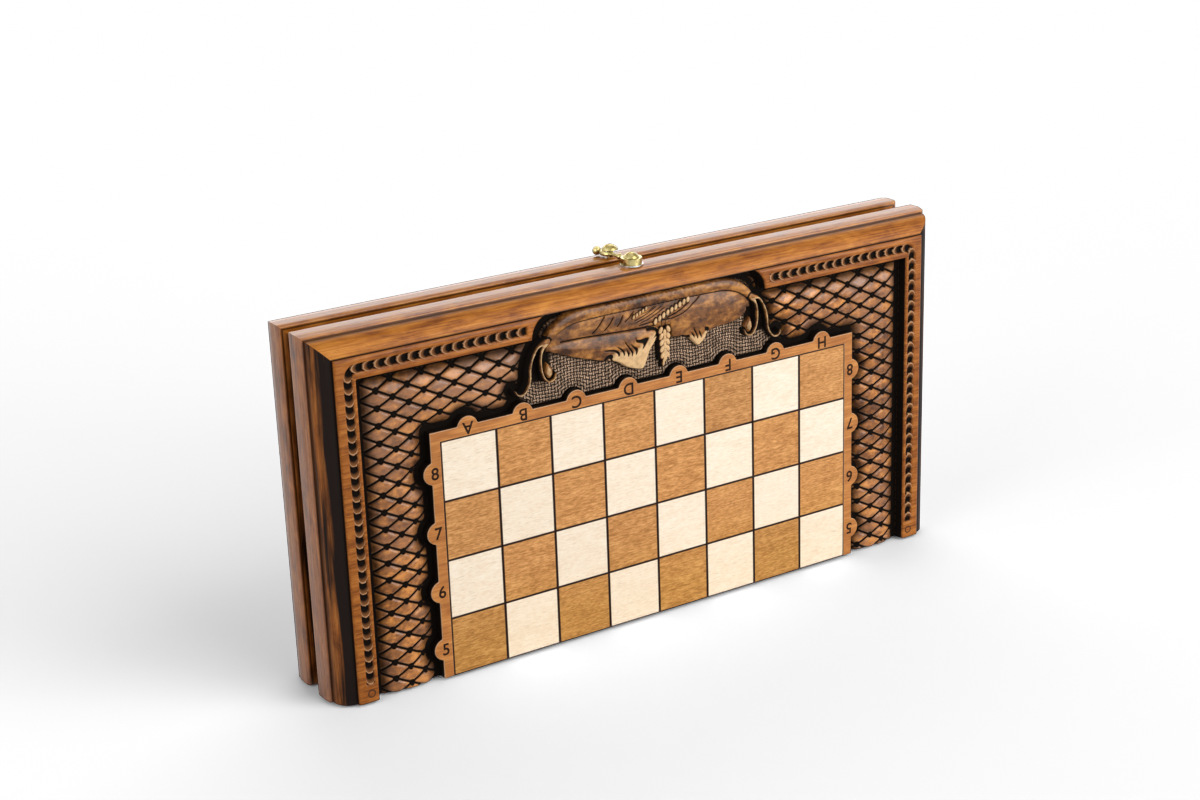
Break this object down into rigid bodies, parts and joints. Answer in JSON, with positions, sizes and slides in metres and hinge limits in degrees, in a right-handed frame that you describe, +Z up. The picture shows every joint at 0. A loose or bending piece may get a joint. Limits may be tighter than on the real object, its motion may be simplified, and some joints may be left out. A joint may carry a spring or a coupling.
{
  "type": "folding games box",
  "caption": "Carved wooden folding box whose outer faces form a chessboard and whose trays hold the backgammon field, with brass hinges and a hook latch.",
  "frame": {"origin": "middle of the box's footprint, where the hinge knuckles touch the surface on which the closed box stands", "axes": "+Z up from the hinge edge to the latch, +X along the fold towards the H file, -Y out of the front half's chess face"},
  "size_m": [0.497, 0.0784, 0.2574],
  "materials": {
    "carved_panel": "carved, stained and lacquered",
    "crest_wood": "carved, dark stained, rubbed gold on the edges",
    "board_frame": "satin lacquer",
    "light_wood": "satin lacquer",
    "dark_wood": "satin lacquer",
    "dark_point": "satin lacquer",
    "moulding": "glossy amber lacquer",
    "tray_wall": "glossy lacquer",
    "field_lining": "satin lacquer",
    "brass": "polished",
    "washer_steel": "bright plated"
  },
  "bodies": {
    "back_half": {"back_face_panel": "carved_panel", "back_crest": "crest_wood", "back_board_panel": "board_frame", "back_light_squares": "light_wood", "back_dark_squares": "dark_wood", "back_left_moulding": "moulding", "back_right_moulding": "moulding", "back_top_moulding": "moulding", "back_left_wall": "tray_wall", "back_right_wall": "tray_wall", "back_top_wall": "tray_wall", "back_hinge_wall": "tray_wall", "back_field_lining": "field_lining", "back_light_points": "light_wood", "back_dark_points": "dark_point", "back_hinge_leaves": "brass", "back_hinge_screws": "brass", "hinge_pins": "brass", "latch_keeper_screw": "brass"},
    "front_half": {"front_face_panel": "carved_panel", "front_crest": "crest_wood", "front_board_panel": "board_frame", "front_light_squares": "light_wood", "front_dark_squares": "dark_wood", "front_left_moulding": "moulding", "front_right_moulding": "moulding", "front_top_moulding": "moulding", "front_left_wall": "tray_wall", "front_right_wall": "tray_wall", "front_top_wall": "tray_wall", "front_hinge_wall": "tray_wall", "front_field_lining": "field_lining", "front_light_points": "light_wood", "front_dark_points": "dark_point", "front_hinge_leaves": "brass", "front_hinge_screws": "brass", "latch_pivot_screw": "brass", "latch_washer": "washer_steel"},
    "latch_hook": {"latch_hook": "brass"}
  },
  "joints": [
    {"name": "fold", "type": "hinge", "parent": "back_half", "child": "front_half", "pos_m": [0, 0, 0.002], "axis": [1, 0, 0], "range_deg": [0, 180]},
    {"name": "latch_swing", "type": "hinge", "parent": "front_half", "child": "latch_hook", "pos_m": [0, -0.0146, 0.2518], "axis": [0, 0, 1], "range_deg": [0, 110]}
  ]
}
